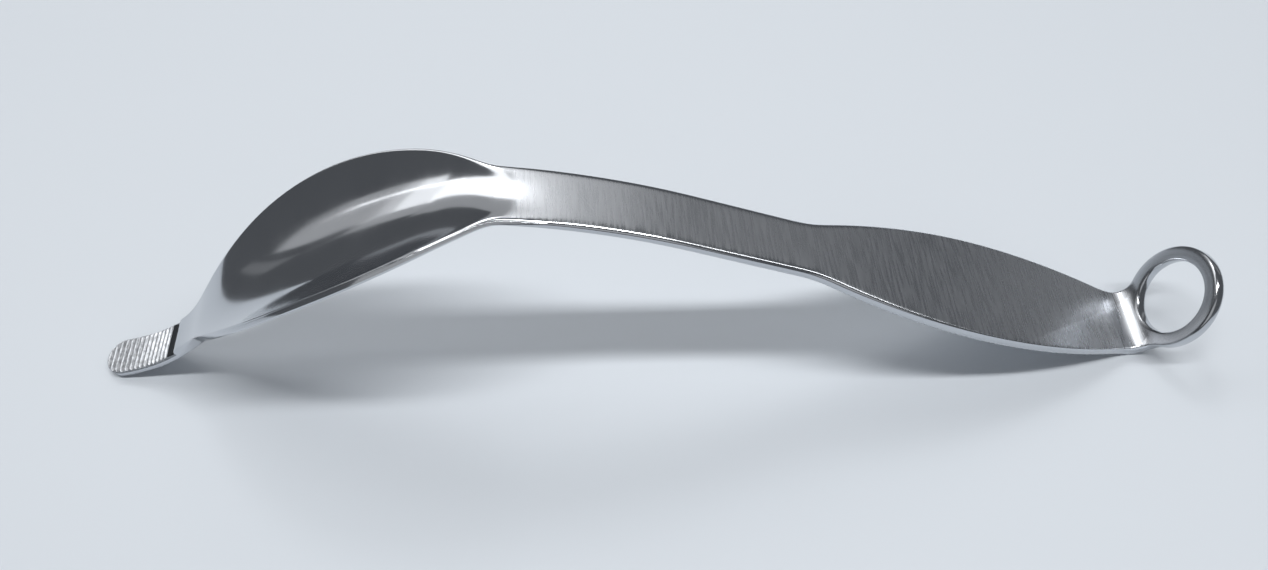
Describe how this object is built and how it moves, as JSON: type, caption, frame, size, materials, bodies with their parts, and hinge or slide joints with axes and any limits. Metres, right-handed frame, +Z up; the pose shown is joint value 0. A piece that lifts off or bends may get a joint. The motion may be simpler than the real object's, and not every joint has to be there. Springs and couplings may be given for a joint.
{
  "type": "handheld surgical retractor",
  "caption": "One-piece bent steel retractor with a toothed toe, a hollowed blade, a slim neck, a leaf-shaped grip and a finger ring.",
  "frame": {"origin": "centre of the bounding box, on the level that the toe and the ring bend rest on", "axes": "+Z up, +X along the instrument from the toothed toe to the finger ring, Y across it"},
  "size_m": [0.2918, 0.0378, 0.0649],
  "materials": {
    "steel": "stainless steel: mirror polish in the blade's hollow and on the edges, fine crosswise grinding on the neck and the leaf"
  },
  "bodies": {
    "root": {"retractor": "steel"}
  },
  "joints": []
}
